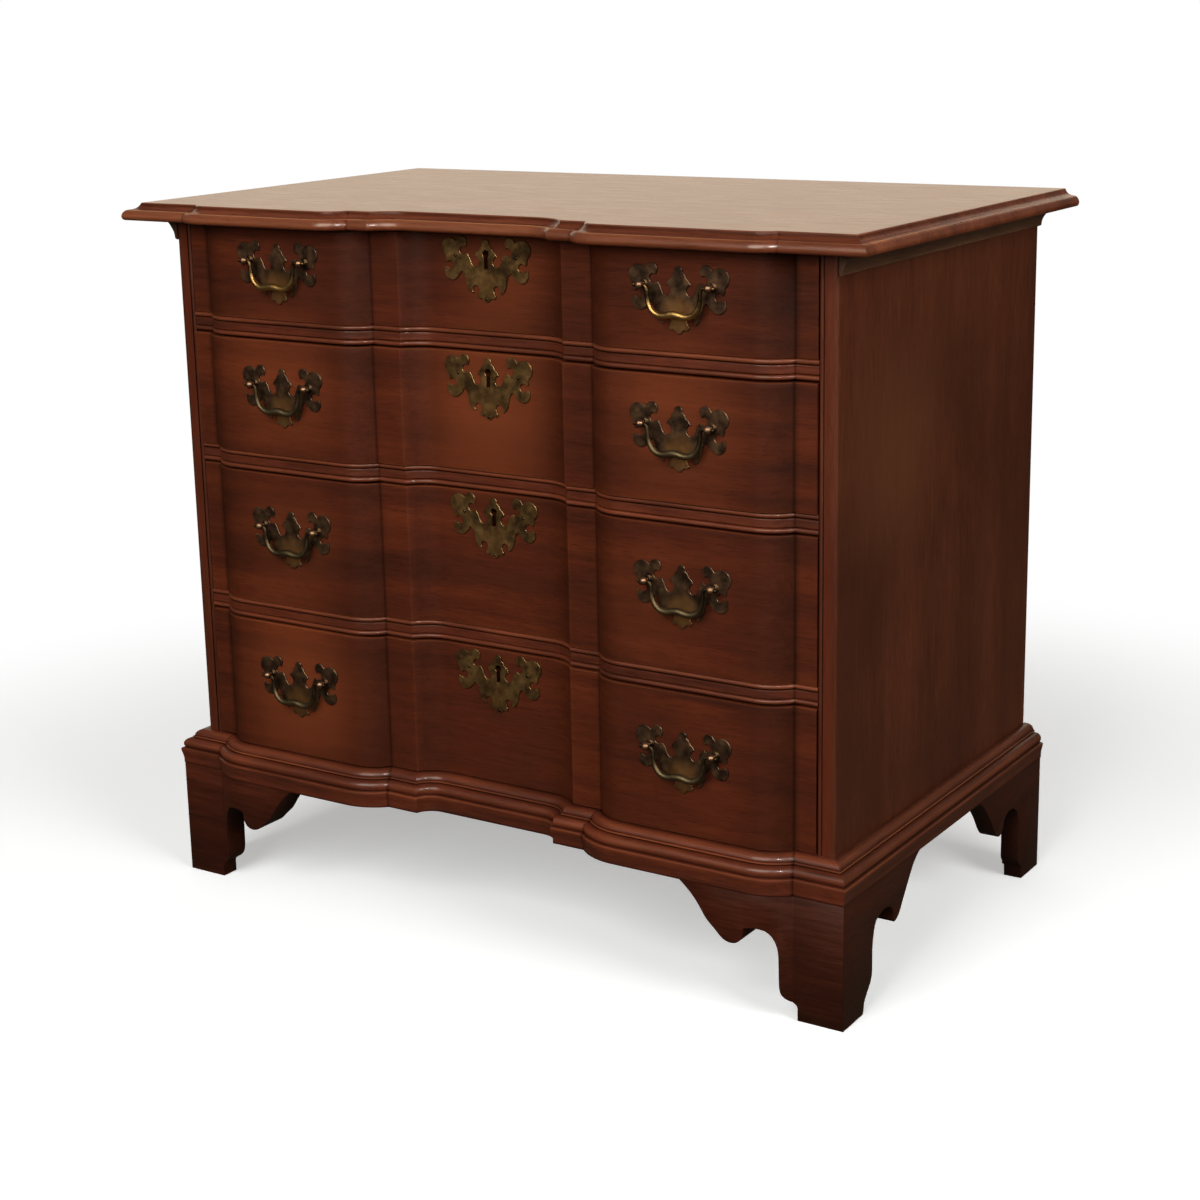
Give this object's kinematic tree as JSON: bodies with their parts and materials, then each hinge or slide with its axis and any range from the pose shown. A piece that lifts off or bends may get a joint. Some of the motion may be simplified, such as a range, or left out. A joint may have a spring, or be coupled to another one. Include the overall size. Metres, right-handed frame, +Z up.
{
  "type": "block front chest of drawers",
  "caption": "Chest of graduated drawers with a blocked front, moulded top, bail pulls and scrolled bracket feet.",
  "frame": {"origin": "centre of the whole part's outline in plan, on the floor", "axes": "+Z up, the drawers face -Y and slide out along it, +X along the front"},
  "size_m": [0.9136, 0.532, 0.7874],
  "materials": {
    "front_wood": "satin red-brown mahogany",
    "side_wood": "satin dark brown mahogany",
    "drawer_wood": "unfinished poplar, darkened by age",
    "brass": "aged, rubbed bright on the bails"
  },
  "bodies": {
    "case": {"back_panel": "drawer_wood", "bottom_board": "drawer_wood", "dust_board_1": "drawer_wood", "dust_board_2": "drawer_wood", "dust_board_3": "drawer_wood", "front_base_moulding": "front_wood", "front_left_foot": "front_wood", "front_right_foot": "front_wood", "left_base_moulding": "front_wood", "left_bed_moulding": "side_wood", "left_side": "side_wood", "rail_1": "front_wood", "rail_2": "front_wood", "rail_3": "front_wood", "rear_left_foot": "front_wood", "rear_right_foot": "front_wood", "right_base_moulding": "front_wood", "right_bed_moulding": "side_wood", "right_side": "side_wood", "top_board": "front_wood"},
    "drawer_1": {"drawer_1_back": "drawer_wood", "drawer_1_bottom": "drawer_wood", "drawer_1_escutcheon": "brass", "drawer_1_front": "front_wood", "drawer_1_left_pull_plate": "brass", "drawer_1_left_side": "drawer_wood", "drawer_1_right_pull_plate": "brass", "drawer_1_right_side": "drawer_wood"},
    "drawer_2": {"drawer_2_back": "drawer_wood", "drawer_2_bottom": "drawer_wood", "drawer_2_escutcheon": "brass", "drawer_2_front": "front_wood", "drawer_2_left_pull_plate": "brass", "drawer_2_left_side": "drawer_wood", "drawer_2_right_pull_plate": "brass", "drawer_2_right_side": "drawer_wood"},
    "drawer_3": {"drawer_3_back": "drawer_wood", "drawer_3_bottom": "drawer_wood", "drawer_3_escutcheon": "brass", "drawer_3_front": "front_wood", "drawer_3_left_pull_plate": "brass", "drawer_3_left_side": "drawer_wood", "drawer_3_right_pull_plate": "brass", "drawer_3_right_side": "drawer_wood"},
    "drawer_4": {"drawer_4_back": "drawer_wood", "drawer_4_bottom": "drawer_wood", "drawer_4_escutcheon": "brass", "drawer_4_front": "front_wood", "drawer_4_left_pull_plate": "brass", "drawer_4_left_side": "drawer_wood", "drawer_4_right_pull_plate": "brass", "drawer_4_right_side": "drawer_wood"},
    "drawer_1_left_bail": {"drawer_1_left_bail": "brass"},
    "drawer_1_right_bail": {"drawer_1_right_bail": "brass"},
    "drawer_2_left_bail": {"drawer_2_left_bail": "brass"},
    "drawer_2_right_bail": {"drawer_2_right_bail": "brass"},
    "drawer_3_left_bail": {"drawer_3_left_bail": "brass"},
    "drawer_3_right_bail": {"drawer_3_right_bail": "brass"},
    "drawer_4_left_bail": {"drawer_4_left_bail": "brass"},
    "drawer_4_right_bail": {"drawer_4_right_bail": "brass"}
  },
  "joints": [
    {"name": "drawer_1_slide", "type": "slide", "parent": "case", "child": "drawer_1", "axis": [0, -1, 0], "range_m": [0, 0.36]},
    {"name": "drawer_1_left_bail_swing", "type": "hinge", "parent": "drawer_1", "child": "drawer_1_left_bail", "pos_m": [-0.25, -0.2482, 0.73105], "axis": [-1, 0, 0], "range_deg": [0, 100]},
    {"name": "drawer_1_right_bail_swing", "type": "hinge", "parent": "drawer_1", "child": "drawer_1_right_bail", "pos_m": [0.25, -0.2482, 0.73105], "axis": [-1, 0, 0], "range_deg": [0, 100]},
    {"name": "drawer_2_slide", "type": "slide", "parent": "case", "child": "drawer_2", "axis": [0, -1, 0], "range_m": [0, 0.36]},
    {"name": "drawer_2_left_bail_swing", "type": "hinge", "parent": "drawer_2", "child": "drawer_2_left_bail", "pos_m": [-0.25, -0.2507, 0.59615], "axis": [-1, 0, 0], "range_deg": [0, 100]},
    {"name": "drawer_2_right_bail_swing", "type": "hinge", "parent": "drawer_2", "child": "drawer_2_right_bail", "pos_m": [0.25, -0.2507, 0.59615], "axis": [-1, 0, 0], "range_deg": [0, 100]},
    {"name": "drawer_3_slide", "type": "slide", "parent": "case", "child": "drawer_3", "axis": [0, -1, 0], "range_m": [0, 0.36]},
    {"name": "drawer_3_left_bail_swing", "type": "hinge", "parent": "drawer_3", "child": "drawer_3_left_bail", "pos_m": [-0.25, -0.2482, 0.43695], "axis": [-1, 0, 0], "range_deg": [0, 100]},
    {"name": "drawer_3_right_bail_swing", "type": "hinge", "parent": "drawer_3", "child": "drawer_3_right_bail", "pos_m": [0.25, -0.2482, 0.43695], "axis": [-1, 0, 0], "range_deg": [0, 100]},
    {"name": "drawer_4_slide", "type": "slide", "parent": "case", "child": "drawer_4", "axis": [0, -1, 0], "range_m": [0, 0.36]},
    {"name": "drawer_4_left_bail_swing", "type": "hinge", "parent": "drawer_4", "child": "drawer_4_left_bail", "pos_m": [-0.25, -0.2492, 0.2642], "axis": [-1, 0, 0], "range_deg": [0, 100]},
    {"name": "drawer_4_right_bail_swing", "type": "hinge", "parent": "drawer_4", "child": "drawer_4_right_bail", "pos_m": [0.25, -0.2492, 0.2642], "axis": [-1, 0, 0], "range_deg": [0, 100]}
  ]
}
